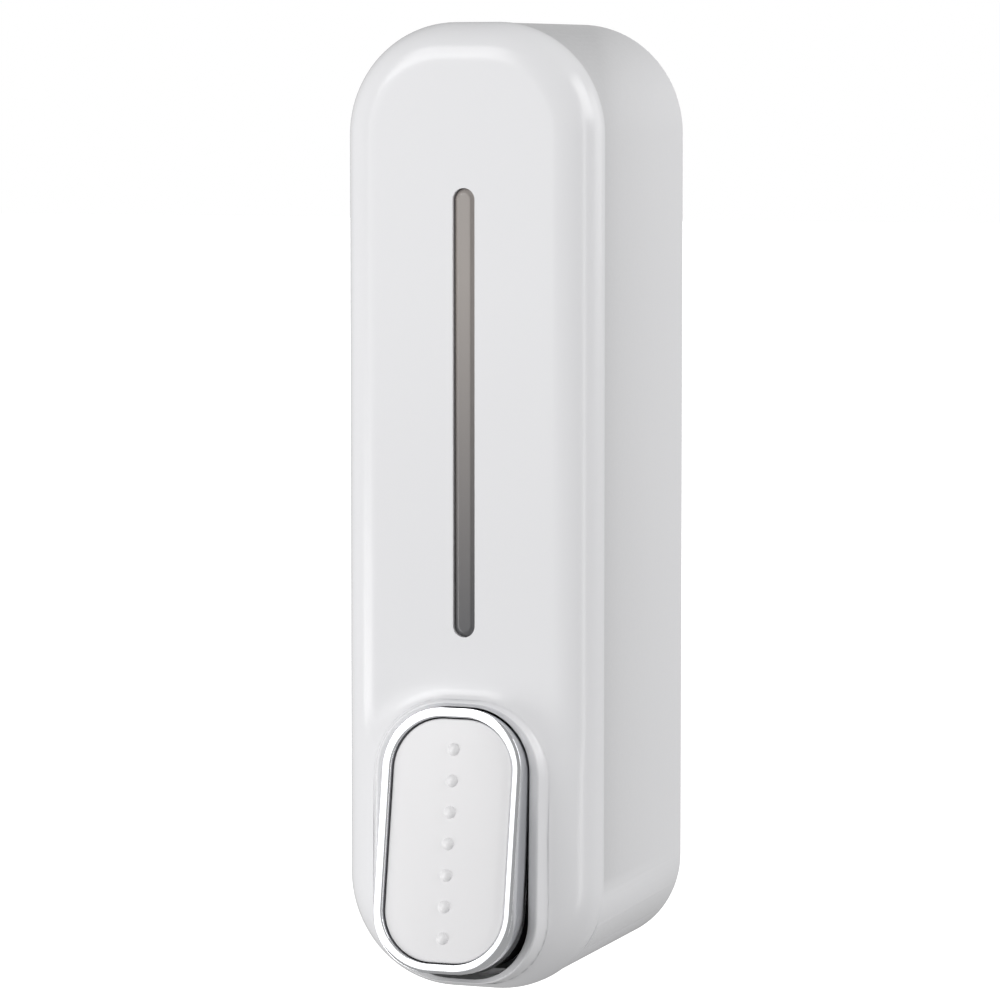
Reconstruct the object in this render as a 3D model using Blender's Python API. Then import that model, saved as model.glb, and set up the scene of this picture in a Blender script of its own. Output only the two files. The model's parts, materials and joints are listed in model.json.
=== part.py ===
"""Wall mounted push-button soap dispenser.

Everything is drawn in millimetres and turned into metres when a mesh is made. The wall is the
plane y = 0 and the dispenser stands out from it towards -Y. X runs to the right as seen from the
front. Z is up, and z = 0 is the middle of the back plate, FLOOR is the lowest point of the cover.
"""

import math

import bmesh
import bpy

MM = 0.001
GAP = 0.3            # clearance between pieces that touch on the real object
FLOOR = -100.0

# Front cover
HALF_WIDTH = 29.85
HEIGHT = 215.0
DEPTH = 62.8
CORNER = 24.8        # corner radius of the front outline
FRONT_EDGE = 8.9     # radius of the rounded edge round the front face
WALL = 2.2
REAR_LOW_CORNER = 21.3
REAR_STEP = 1.6      # the underside behind the front edge sits this much higher
REAR_RISE = 1.0      # and climbs this much more on its way to the wall
SEAM = 0.12          # fine step between the rounded edge and the side
REAR_Y = -0.5
INNER_FACE_Y = -DEPTH + WALL
DRIP_HOLE_RADIUS = 9.0

# Window slot in the cover
SLOT_HALF = 2.59
SLOT_LOW = FLOOR + 79.4
SLOT_HIGH = FLOOR + 178.6

# Window lens behind the slot, and the plate that holds it
FLANGE_HALF = 5.4
LENS_REAR_Y = -58.8
FLANGE_FRONT_Y = -60.3
LENS_FRONT_Y = -60.9
STRIP_HALF = 1.65        # raised strip along the middle of the lens
STRIP_FRONT_Y = -61.5
FRAME_HALF = 7.5
FRAME_REACH = 12.5
FRAME_FRONT_Y = LENS_REAR_Y + 0.3
FRAME_REAR_Y = -56.9
LENS_SCREW_REACH = 8.4
LENS_SCREW_HOLE = 1.3

# Opening for the button, and the raised collar round it
OPENING_HALF = 16.6
OPENING_LOW = FLOOR + 3.45
OPENING_HIGH = FLOOR + 64.2
OPENING_CORNER = 14.2
OPENING_REAR_Y = -51.5   # leaves room for the skirt of the button as it swings in
COLLAR_HEIGHT = 5.2
COLLAR_TOP_SHARE = 0.55  # the collar is lower at the top of the button

# Button. Its face leans out at the bottom.
TILT = math.radians(9.8)
FACE_TOP_Y = -DEPTH - 5.55
FACE_TOP_Z = FLOOR + 64.36
FACE_HALF = 16.4
FACE_LENGTH = 58.45
FACE_CORNER = 13.8
RIM_DEPTH = 8.4          # the chrome rim, measured square to the face
SKIRT_REAR_Y = -57.2     # the carrier has a skirt that reaches into the cover
BUMPS = 7
BUMP_PITCH = 6.935
FIRST_BUMP = 9.13
BUMP_RADIUS = 1.6
PAD_DEPTH = 0.9          # how far the pad lies below the chrome rim
PAD_REAR = 2.9           # depths below the rim of the back of the pad and of the carrier
CARRIER_FRONT = 3.2
CARRIER_REAR = 5.2
BUTTON_SCREWS = (14.0, 50.0)   # distances down the face
BUTTON_SCREW_HOLE = 1.2

# Hinge of the button
HINGE_Y = -57.0
HINGE_Z = FLOOR + 60.0
PIN_RADIUS = 1.15
PIN_HALF = 18.4
BOSS_INNER_X = 14.2      # the bosses of the cover stand outside the lugs of the button
BOSS_OUTER_X = 19.2
LUG_INNER_X = 3.5
LUG_OUTER_X = 6.0

# Pump. The cylinder lies along Y, with its ports at PORT_Y.
PUMP_Z = FLOOR + 30.0
PORT_Y = -19.0
BORE = 7.3
CYLINDER_FRONT_Y = -34.0
CHAMBER_REAR_Y = -14.0
CYLINDER_RADIUS = 9.6
CAP_FRONT_Y = CYLINDER_FRONT_Y - 3.2
SPRING_SEAT_Y = -48.5
PLUNGER_FRONT_Y = -53.2
PUSHER_RADIUS = 4.0
PLATE_FRONT_Y = -8.0
PLATE_REAR_Y = -5.2
SCREW_X = 15.0
SCREW_HOLE = 1.5
SCREW_HEIGHTS = {"lower": FLOOR + 17.0, "upper": FLOOR + 57.0}

# Valves, one above the other on the port axis
INLET_BALL_Z = FLOOR + 44.9
INLET_BALL_RADIUS = 3.5
OUTLET_BALL_Z = FLOOR + 17.7
OUTLET_BALL_RADIUS = 2.8
NOZZLE_FLOOR = FLOOR + 8.3

# Back plate
PLATE_CLEARANCE = 0.35   # between its rim and the inside of the cover
PLATE_RIM = 1.8
RIM_FRONT_Y = -9.0
PLATE_FACE_Y = -3.0
SHELF_HALF = 21.0
SHELF_FRONT_Y = -40.0
SHELF_THICKNESS = 2.5
NOTCH_RADIUS = 10.8
KEYHOLE_HEIGHTS = (FLOOR + 82.0, FLOOR + 185.0)

# Reservoir
BOTTLE_HALF = 24.5
BOTTLE_FRONT_Y = -54.0
BOTTLE_REAR_Y = -6.0
BOTTLE_LOW = FLOOR + 72.0
BOTTLE_HIGH = FLOOR + 191.0
BOTTLE_WALL = 1.6
MOUTH_Y = -30.0
NECK_RADIUS = 10.0
MOUTH_RADIUS = 13.0
LID_RADIUS = 14.5

ARC_STEPS = 10
ROUND = 24           # sides of a turned piece


def clear_scene():
    for obj in list(bpy.data.objects):
        bpy.data.objects.remove(obj)


# ---------------------------------------------------------------- materials

def material(name, colour, roughness, metallic=0.0):
    found = bpy.data.materials.get(name)
    if found:
        return found
    made = bpy.data.materials.new(name)
    made.use_nodes = True
    shader = made.node_tree.nodes["Principled BSDF"]
    shader.inputs["Base Color"].default_value = (*colour, 1.0)
    shader.inputs["Roughness"].default_value = roughness
    shader.inputs["Metallic"].default_value = metallic
    made.diffuse_color = (*colour, 1.0)
    made.roughness = roughness
    made.metallic = metallic
    return made


def gloss_white():
    return material("gloss_white_abs", (0.84, 0.84, 0.86), 0.18)


def pad_white():
    return material("satin_white_abs", (0.85, 0.85, 0.86), 0.32)


def chrome():
    return material("chrome_plating", (0.80, 0.81, 0.83), 0.06, metallic=1.0)


def smoky():
    return material("smoky_polycarbonate", (0.16, 0.155, 0.15), 0.15)


def frame_grey():
    return material("grey_frame_abs", (0.45, 0.45, 0.46), 0.45)


def bracket_white():
    return material("matte_white_abs", (0.74, 0.74, 0.74), 0.5)


def dark_plastic():
    return material("black_abs", (0.03, 0.03, 0.03), 0.5)


def bottle_plastic():
    return material("milky_polyethylene", (0.80, 0.83, 0.84), 0.35)


def lid_blue():
    return material("pale_lid_polypropylene", (0.62, 0.66, 0.70), 0.4)


def pump_plastic():
    return material("pump_acetal", (0.70, 0.71, 0.70), 0.38)


def piston_plastic():
    return material("piston_acetal", (0.32, 0.34, 0.37), 0.4)


def rubber():
    return material("black_rubber", (0.03, 0.03, 0.03), 0.7)


def silicone():
    return material("clear_silicone", (0.62, 0.58, 0.54), 0.5)


def steel():
    return material("stainless_steel", (0.62, 0.62, 0.64), 0.28, metallic=1.0)


# ---------------------------------------------------------------- mesh helpers

def new_object(name, points, faces, look):
    """An object from points in millimetres. Its faces are turned to point outwards."""
    mesh = bpy.data.meshes.new(name)
    mesh.from_pydata([[value * MM for value in point] for point in points], [], faces)
    work = bmesh.new()
    work.from_mesh(mesh)
    bmesh.ops.recalc_face_normals(work, faces=work.faces)
    work.to_mesh(mesh)
    work.free()
    obj = bpy.data.objects.new(name, mesh)
    bpy.context.scene.collection.objects.link(obj)
    obj.data.materials.append(look)
    return obj


def loft(name, rings, look, closed=False):
    """A solid through rings of equally many points. A closed loft joins its last ring to its first."""
    count = len(rings[0])
    points = [point for ring in rings for point in ring]
    faces = []
    spans = len(rings) if closed else len(rings) - 1
    for span in range(spans):
        near = span * count
        far = (span + 1) % len(rings) * count
        for step in range(count):
            after = (step + 1) % count
            faces.append((near + step, near + after, far + after, far + step))
    if not closed:
        faces.append(tuple(range(count)))
        faces.append(tuple(len(points) - count + step for step in range(count)))
    return new_object(name, points, faces, look)


def circle(radius, steps=ROUND):
    turn = 2 * math.pi / steps
    return [(radius * math.cos(step * turn), radius * math.sin(step * turn)) for step in range(steps)]


def turned_upright(name, profile, x, y, look, closed=False, steps=ROUND):
    """A piece turned about a vertical axis, from a profile of (radius, height)."""
    rings = [[(x + a, y + b, z) for a, b in circle(radius, steps)] for radius, z in profile]
    return loft(name, rings, look, closed)


def turned_forward(name, profile, x, z, look, closed=False, steps=ROUND):
    """A piece turned about an axis along Y, from a profile of (radius, y)."""
    rings = [[(x + a, y, z + b) for a, b in circle(radius, steps)] for radius, y in profile]
    return loft(name, rings, look, closed)


def turned_sideways(name, profile, y, z, look, steps=ROUND):
    """A piece turned about an axis along X, from a profile of (radius, x)."""
    rings = [[(x, y + a, z + b) for a, b in circle(radius, steps)] for radius, x in profile]
    return loft(name, rings, look)


def box(name, low, high, look):
    outline = [(low[0], low[1]), (high[0], low[1]), (high[0], high[1]), (low[0], high[1])]
    return loft(name, [[(x, y, z) for x, y in outline] for z in (low[2], high[2])], look)


def rounded_outline(half_width, low, high, radius_low, radius_high, steps=ARC_STEPS):
    """(x, z) round a rectangle with rounded corners, from the right-hand top corner on."""
    corners = [
        (half_width - radius_high, high - radius_high, radius_high, 0),
        (radius_high - half_width, high - radius_high, radius_high, 90),
        (radius_low - half_width, low + radius_low, radius_low, 180),
        (half_width - radius_low, low + radius_low, radius_low, 270),
    ]
    points = []
    for x, z, radius, start in corners:
        for step in range(steps + 1):
            angle = math.radians(start + 90 * step / steps)
            points.append((x + radius * math.cos(angle), z + radius * math.sin(angle)))
    return points


def coil(name, radius, wire, turns, start, end, place, look):
    """A helical spring whose wire runs from start to end along an axis; place() puts it in the world."""
    around = 14
    sides = 6
    steps = int(turns * around)
    rings = []
    for step in range(steps + 1):
        angle = 2 * math.pi * step / around
        along = start + (end - start) * step / steps
        ring = []
        for side in range(sides):
            turn = 2 * math.pi * side / sides
            out = radius + wire * math.cos(turn)
            ring.append(place(out * math.cos(angle), out * math.sin(angle), along + wire * math.sin(turn)))
        rings.append(ring)
    return loft(name, rings, look)


def combine(target, other, operation):
    """Joins other to target, or cuts it out, and removes other."""
    change = target.modifiers.new("shape", "BOOLEAN")
    change.operation = operation
    change.solver = "EXACT"
    change.object = other
    graph = bpy.context.evaluated_depsgraph_get()
    shaped = bpy.data.meshes.new_from_object(target.evaluated_get(graph))
    target.modifiers.clear()
    target.data = shaped
    bpy.data.objects.remove(other)


def join(target, *others):
    for other in others:
        combine(target, other, "UNION")


def cut(target, *others):
    for other in others:
        combine(target, other, "DIFFERENCE")


def move_origin(obj, x, y, z):
    """Puts the origin of the object on its joint axis and leaves its shape where it is."""
    for vertex in obj.data.vertices:
        vertex.co.x -= x * MM
        vertex.co.y -= y * MM
        vertex.co.z -= z * MM
    obj.location = (x * MM, y * MM, z * MM)


def shade(obj):
    obj.data.shade_smooth()
    obj.data.set_sharp_from_angle(angle=math.radians(38))


# ---------------------------------------------------------------- front cover

def cover_ring(inset, y, raised=0.0, low_corner=CORNER):
    outline = rounded_outline(
        HALF_WIDTH - inset,
        FLOOR + inset + raised,
        FLOOR + HEIGHT - inset,
        low_corner - inset,
        CORNER - inset,
    )
    return [(x, y, z) for x, z in outline]


def front_edge_rings(steps):
    """Rings round the rounded front edge, from the flat face back to the side."""
    rings = []
    for step in range(steps + 1):
        angle = math.radians(90 * step / steps)
        inset = FRONT_EDGE * (1 - math.sin(angle))
        rings.append(cover_ring(inset, -DEPTH + FRONT_EDGE * (1 - math.cos(angle))))
    return rings


def front_surface_drop(x, z):
    """How far the rounded front edge falls back from the flat face at x, z."""
    half_x = HALF_WIDTH - FRONT_EDGE
    half_z = HEIGHT / 2 - FRONT_EDGE
    corner = CORNER - FRONT_EDGE
    beyond_x = abs(x) - half_x + corner
    beyond_z = abs(z - FLOOR - HEIGHT / 2) - half_z + corner
    outside = math.hypot(max(beyond_x, 0.0), max(beyond_z, 0.0)) + min(max(beyond_x, beyond_z), 0.0) - corner
    reach = min(max(outside, 0.0), FRONT_EDGE)
    return FRONT_EDGE - math.sqrt(FRONT_EDGE**2 - reach**2)


def opening_outline(outset):
    """The button opening grown by outset. It grows less upwards, and least down at the cover's end."""
    return rounded_outline(
        OPENING_HALF + outset,
        OPENING_LOW - outset * 0.34,
        OPENING_HIGH + outset * 0.37,
        OPENING_CORNER + outset * 0.62,
        OPENING_CORNER + outset * 0.75,
    )


def collar_height(z):
    """Full height beside the button, lower towards its top."""
    climb = min(max((z - FLOOR - 35.0) / 30.0, 0.0), 1.0)
    return COLLAR_HEIGHT * (1 - (1 - COLLAR_TOP_SHARE) * climb)


def collar():
    """A raised border: a bevel down to the button, a crest, and a long fall into the front."""
    buried = -1.3
    profile = [
        (-0.6, 0.0),
        (0.0, 0.74),
        (0.2, 0.8),
        (2.1, 0.98),
        (2.5, 1.0),
        (2.9, 0.98),
        (3.6, 0.85),
        (4.4, 0.65),
        (5.2, 0.46),
        (6.2, 0.27),
        (7.4, 0.12),
        (8.6, 0.03),
        (9.6, -0.03),
    ]
    rings = []
    for outset, share in [(-0.6, None), *profile, (9.6, None)]:
        ring = []
        for x, z in opening_outline(outset):
            raised = buried if share is None else share * collar_height(z)
            ring.append((x, -DEPTH + front_surface_drop(x, z) - raised, z))
        rings.append(ring)
    return loft("collar", rings, gloss_white(), closed=True)


def front_prism(outline, front_y, rear_y):
    """A cutter along Y from an outline of (x, z)."""
    return loft("cutter", [[(x, y, z) for x, z in outline] for y in (front_y, rear_y)], gloss_white())


def stadium(half_width, low, high, steps=8):
    return rounded_outline(half_width, low, high, half_width * 0.999, half_width * 0.999, steps)


def hinge_boss(side):
    """A block inside the cover that holds one end of the hinge pin. side is -1 or 1."""
    inner, outer = sorted((side * BOSS_INNER_X, side * BOSS_OUTER_X))
    low = (inner, INNER_FACE_Y - 0.6, HINGE_Z - 3.2)
    high = (outer, HINGE_Y + 2.8, HINGE_Z + 3.2)
    return box("boss", low, high, gloss_white())


def lens_boss(z):
    return turned_forward("boss", [(3.0, INNER_FACE_Y - 0.6), (3.0, LENS_REAR_Y)], 0.0, z, gloss_white())


def front_cover():
    """The shell: an outer skin, an inner skin WALL behind it, and the openings through both."""
    side_y = -DEPTH + FRONT_EDGE
    inner_edge = FRONT_EDGE - WALL
    inner_steps = 3
    rings = front_edge_rings(8)
    rings.append(cover_ring(SEAM, side_y + 0.35, REAR_STEP, REAR_LOW_CORNER))
    rings.append(cover_ring(0.0, REAR_Y, REAR_STEP + REAR_RISE, REAR_LOW_CORNER))
    rings.append(cover_ring(WALL, REAR_Y, REAR_STEP + REAR_RISE, REAR_LOW_CORNER))
    rings.append(cover_ring(WALL, side_y + 0.35, REAR_STEP, REAR_LOW_CORNER))
    for step in range(inner_steps, -1, -1):
        angle = math.radians(90 * step / inner_steps)
        inset = WALL + inner_edge * (1 - math.sin(angle))
        y = INNER_FACE_Y + inner_edge * (1 - math.cos(angle))
        rings.append(cover_ring(inset, y, REAR_STEP, CORNER))
    cover = loft("front_cover", rings, gloss_white())

    join(cover, collar(), hinge_boss(-1), hinge_boss(1), *[lens_boss(z) for z in lens_screw_heights()])
    cut(cover, front_prism(opening_outline(0.0), -DEPTH - 8, OPENING_REAR_Y))
    cut(cover, front_prism(stadium(SLOT_HALF, SLOT_LOW, SLOT_HIGH), -DEPTH - 2, INNER_FACE_Y + 2))
    for side in (-1, 1):
        bore = [(PIN_RADIUS + GAP, side * x) for x in (BOSS_INNER_X - 1, BOSS_OUTER_X + 1)]
        cut(cover, turned_sideways("cutter", bore, HINGE_Y, HINGE_Z, gloss_white(), 20))
    for z in lens_screw_heights():
        hole = [(LENS_SCREW_HOLE, INNER_FACE_Y - 0.7), (LENS_SCREW_HOLE, LENS_REAR_Y + 1.8)]
        cut(cover, turned_forward("cutter", hole, 0.0, z, gloss_white(), steps=20))
    drip_hole = [(DRIP_HOLE_RADIUS, FLOOR - 3), (DRIP_HOLE_RADIUS, FLOOR + 8)]
    cut(cover, turned_upright("cutter", drip_hole, 0.0, PORT_Y, gloss_white()))
    shade(cover)
    return cover


# ---------------------------------------------------------------- window

def lens_screw_heights():
    return (SLOT_LOW - LENS_SCREW_REACH, SLOT_HIGH + LENS_SCREW_REACH)


def window_lens():
    """A smoky bar that stands in the slot, with a flange behind the wall of the cover."""
    shoulder = SLOT_HALF - GAP
    steps = [
        (FLANGE_HALF, LENS_REAR_Y),
        (FLANGE_HALF, FLANGE_FRONT_Y),
        (shoulder, FLANGE_FRONT_Y),
        (shoulder, LENS_FRONT_Y + 0.15),
        (shoulder - 0.15, LENS_FRONT_Y),
        (STRIP_HALF, LENS_FRONT_Y),
        (STRIP_HALF - 0.15, STRIP_FRONT_Y + 0.15),
        (STRIP_HALF - 0.4, STRIP_FRONT_Y),
    ]
    rings = []
    for half, y in steps:
        beyond = half - SLOT_HALF
        rings.append([(x, y, z) for x, z in stadium(half, SLOT_LOW - beyond, SLOT_HIGH + beyond)])
    lens = loft("window_lens", rings, smoky())
    shade(lens)
    return lens


def lens_frame():
    """Plate that holds the lens against the inside of the cover."""
    outline = stadium(FRAME_HALF, SLOT_LOW - FRAME_REACH, SLOT_HIGH + FRAME_REACH)
    ends = (FRAME_FRONT_Y, FRAME_REAR_Y)
    frame = loft("lens_frame", [[(x, y, z) for x, z in outline] for y in ends], frame_grey())
    window = stadium(SLOT_HALF + 0.8, SLOT_LOW - 0.6, SLOT_HIGH + 0.6)
    cut(frame, front_prism(window, FRAME_FRONT_Y - 1, FRAME_REAR_Y + 1))
    for z in lens_screw_heights():
        hole = [(LENS_SCREW_HOLE, FRAME_FRONT_Y - 1), (LENS_SCREW_HOLE, FRAME_REAR_Y + 1)]
        cut(frame, turned_forward("cutter", hole, 0.0, z, frame_grey(), steps=20))
    shade(frame)
    return frame


def cross_recess(x, z, y, depth, towards):
    """Cutters for a cross slot in a screw head; towards is the way the slot goes in along Y."""
    arms = []
    for half_x, half_z in ((1.35, 0.32), (0.32, 1.35)):
        near, far = sorted((y - towards * 0.5, y + towards * depth))
        low = (x - half_x, near, z - half_z)
        arms.append(box("cutter", low, (x + half_x, far, z + half_z), steel()))
    return arms


def screw(name, x, z, seat_y, tip_y, head_radius, shank_radius):
    """A pan head screw along Y. The head stands on seat_y, on the side away from the tip."""
    into = 1 if tip_y > seat_y else -1
    profile = [
        (head_radius * 0.55, seat_y - into * 1.7),
        (head_radius * 0.88, seat_y - into * 1.35),
        (head_radius, seat_y - into * 0.7),
        (head_radius, seat_y),
        (shank_radius, seat_y),
        (shank_radius, tip_y - into * 0.7),
        (shank_radius * 0.4, tip_y),
    ]
    made = turned_forward(name, profile, x, z, steel(), steps=16)
    cut(made, *cross_recess(x, z, seat_y - into * 1.7, 0.9, into))
    shade(made)
    return made


# ---------------------------------------------------------------- button

def face_point(x, along, depth):
    """A point on the button: along runs down the leaning face, depth goes into it."""
    return (
        x,
        FACE_TOP_Y - along * math.sin(TILT) + depth * math.cos(TILT),
        FACE_TOP_Z - along * math.cos(TILT) - depth * math.sin(TILT),
    )


def face_ring(outset, depth):
    """The outline of the button grown by outset, at a depth below its face."""
    corner = FACE_CORNER + outset
    outline = rounded_outline(FACE_HALF + outset, -FACE_LENGTH - outset, outset, corner, corner)
    return [face_point(x, -z, depth) for x, z in outline]


def skirt_ring(outset, rear_y):
    """The same outline carried straight back from the face onto the plane y = rear_y."""
    ring = []
    for x, y, z in face_ring(outset, 0.0):
        depth = (rear_y - y) / math.cos(TILT)
        ring.append((x, rear_y, z - depth * math.sin(TILT)))
    return ring


def button_bezel():
    """The chrome rim round the pad."""
    rings = [
        face_ring(-0.45, 0.0),
        face_ring(-0.13, 0.13),
        face_ring(0.0, 0.45),
        face_ring(0.0, RIM_DEPTH),
        face_ring(-1.25, RIM_DEPTH),
        face_ring(-1.55, PAD_REAR),
        face_ring(-2.1, PAD_REAR),
        face_ring(-2.1, 0.3),
        face_ring(-1.8, 0.0),
    ]
    bezel = loft("button_bezel", rings, chrome(), closed=True)
    shade(bezel)
    return bezel


def bump(along):
    """A low dome on the pad, sunk a little into it."""
    centre_depth = PAD_DEPTH + 0.75
    rings = []
    for angle in (-10, 25, 48, 68, 84):
        radius = BUMP_RADIUS * math.cos(math.radians(angle))
        depth = centre_depth - BUMP_RADIUS * math.sin(math.radians(angle))
        rings.append([face_point(x, along + b, depth) for x, b in circle(radius, 14)])
    return loft("bump", rings, pad_white())


def button_pad():
    rings = [
        face_ring(-2.4, PAD_REAR),
        face_ring(-2.4, PAD_DEPTH + 0.35),
        face_ring(-2.5, PAD_DEPTH + 0.1),
        face_ring(-2.75, PAD_DEPTH),
    ]
    pad = loft("button_pad", rings, pad_white())
    join(pad, *[bump(FIRST_BUMP + number * BUMP_PITCH) for number in range(BUMPS)])
    for along in BUTTON_SCREWS:
        cut(pad, button_screw_hole(along, PAD_REAR - 0.7, PAD_REAR + 1))
    shade(pad)
    return pad


def button_screw_hole(along, start, end):
    """A cutter square to the leaning face, between two depths below it."""
    rings = [
        [face_point(x, along + b, depth) for x, b in circle(BUTTON_SCREW_HOLE, 20)]
        for depth in (start, end)
    ]
    return loft("cutter", rings, pad_white())


def pusher():
    """The round-ended rod that presses on the plunger."""
    tip_y = PLUNGER_FRONT_Y - GAP
    profile = [(PUSHER_RADIUS, -70.0)]
    for angle in (0, 25, 48, 68, 84):
        turn = math.radians(angle)
        profile.append((PUSHER_RADIUS * math.cos(turn), tip_y - PUSHER_RADIUS * (1 - math.sin(turn))))
    return turned_forward("pusher", profile, 0.0, PUMP_Z, dark_plastic())


def hinge_lug(side):
    """A neck and the eye at its end that turns on the hinge pin. side is -1 or 1."""
    inner, outer = sorted((side * LUG_INNER_X, side * LUG_OUTER_X))
    neck_low = (inner, -65.0, HINGE_Z - 4.0)
    neck_high = (outer, HINGE_Y - 0.5, HINGE_Z + 0.6)
    eye_low = (inner, HINGE_Y - 2.9, HINGE_Z - 2.4)
    eye_high = (outer, HINGE_Y + 2.3, HINGE_Z + 2.4)
    return box("neck", neck_low, neck_high, dark_plastic()), box("eye", eye_low, eye_high, dark_plastic())


def button_carrier():
    """The moving frame behind the pad, with its skirt, the pusher and the hinge lugs."""
    rings = [
        face_ring(-1.9, CARRIER_FRONT),
        skirt_ring(-1.9, SKIRT_REAR_Y),
        skirt_ring(-3.1, SKIRT_REAR_Y),
        face_ring(-3.1, CARRIER_REAR),
    ]
    carrier = loft("button_carrier", rings, dark_plastic())
    join(carrier, pusher(), *hinge_lug(1), *hinge_lug(-1))
    bore = [(PIN_RADIUS + GAP, -PIN_HALF - 1), (PIN_RADIUS + GAP, PIN_HALF + 1)]
    cut(carrier, turned_sideways("cutter", bore, HINGE_Y, HINGE_Z, dark_plastic(), 20))
    for along in BUTTON_SCREWS:
        cut(carrier, button_screw_hole(along, CARRIER_FRONT - 1, CARRIER_REAR + 2))
    shade(carrier)
    return carrier


def button_screw(name, along):
    """A small screw from behind through the carrier into the pad, square to the leaning face."""
    seat = CARRIER_REAR + GAP
    profile = [
        (1.0, seat + 1.4), (1.9, seat + 1.1), (2.2, seat + 0.7), (2.2, seat),
        (0.85, seat), (0.85, PAD_REAR - 0.4),
    ]
    rings = [[face_point(x, along + b, depth) for x, b in circle(radius, 16)] for radius, depth in profile]
    made = loft(name, rings, steel())
    shade(made)
    return made


def button_hinge_pin():
    profile = [
        (PIN_RADIUS - 0.25, -PIN_HALF),
        (PIN_RADIUS, 0.3 - PIN_HALF),
        (PIN_RADIUS, PIN_HALF - 0.3),
        (PIN_RADIUS - 0.25, PIN_HALF),
    ]
    pin = turned_sideways("button_hinge_pin", profile, HINGE_Y, HINGE_Z, steel(), 24)
    shade(pin)
    return pin


# ---------------------------------------------------------------- back plate

def keyhole(z):
    """Cutters for a keyhole: a round hole with a narrower slot above it."""
    hole = turned_forward("cutter", [(4.6, -5), (4.6, 2)], 0.0, z, bracket_white())
    slot = front_prism(stadium(2.4, z - 2.4, z + 10.5), -5, 2)
    return hole, slot


def plate_ring(inset, y):
    """The outline of the plate, which fits inside the rear of the cover, made smaller by inset."""
    inside = WALL + PLATE_CLEARANCE + inset
    outline = rounded_outline(
        HALF_WIDTH - inside,
        FLOOR + REAR_STEP + REAR_RISE + inside,
        FLOOR + HEIGHT - inside,
        REAR_LOW_CORNER - WALL - inset,
        CORNER - inside,
    )
    return [(x, y, z) for x, z in outline]


def pump_screw_places():
    return [(x, z) for x in (-SCREW_X, SCREW_X) for z in SCREW_HEIGHTS.values()]


def neck_notch(shelf_top):
    """Cutter for the U in the shelf that lets the neck of the bottle in from the front."""
    front_y = SHELF_FRONT_Y - 2
    notch = [(-NOTCH_RADIUS, front_y), (NOTCH_RADIUS, front_y)]
    for angle in range(0, 181, 15):
        turn = math.radians(angle)
        notch.append((NOTCH_RADIUS * math.cos(turn), PORT_Y + NOTCH_RADIUS * math.sin(turn)))
    ends = (shelf_top - SHELF_THICKNESS - 1.5, shelf_top + 1.0)
    return loft("cutter", [[(x, y, z) for x, y in notch] for z in ends], bracket_white())


def back_plate():
    """Wall bracket: a dished plate with a rim, the bottle shelf and the posts for the pump."""
    rings = [
        plate_ring(0.0, 0.0),
        plate_ring(0.0, RIM_FRONT_Y),
        plate_ring(PLATE_RIM, RIM_FRONT_Y),
        plate_ring(PLATE_RIM, PLATE_FACE_Y),
    ]
    plate = loft("back_plate", rings, bracket_white())
    root_y = PLATE_FACE_Y + 1.0
    shelf_top = BOTTLE_LOW - GAP
    shelf_low = (-SHELF_HALF, SHELF_FRONT_Y, shelf_top - SHELF_THICKNESS)
    shelf = box("shelf", shelf_low, (SHELF_HALF, root_y, shelf_top), bracket_white())
    ribs = []
    for x in (2 - SHELF_HALF, SHELF_HALF - 2):
        low = (x - 1.0, SHELF_FRONT_Y + 4, shelf_top - 8.0)
        ribs.append(box("rib", low, (x + 1.0, root_y, shelf_top - 1.0), bracket_white()))
    posts = [
        turned_forward("post", [(4.2, root_y), (4.2, PLATE_REAR_Y + GAP)], x, z, bracket_white())
        for x, z in pump_screw_places()
    ]
    join(plate, shelf, *ribs, *posts)
    cut(plate, neck_notch(shelf_top))
    for z in KEYHOLE_HEIGHTS:
        cut(plate, *keyhole(z))
    for x, z in pump_screw_places():
        hole = [(SCREW_HOLE, RIM_FRONT_Y), (SCREW_HOLE, -1.0)]
        cut(plate, turned_forward("cutter", hole, x, z, bracket_white(), steps=20))
    shade(plate)
    return plate


# ---------------------------------------------------------------- pump

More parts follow.
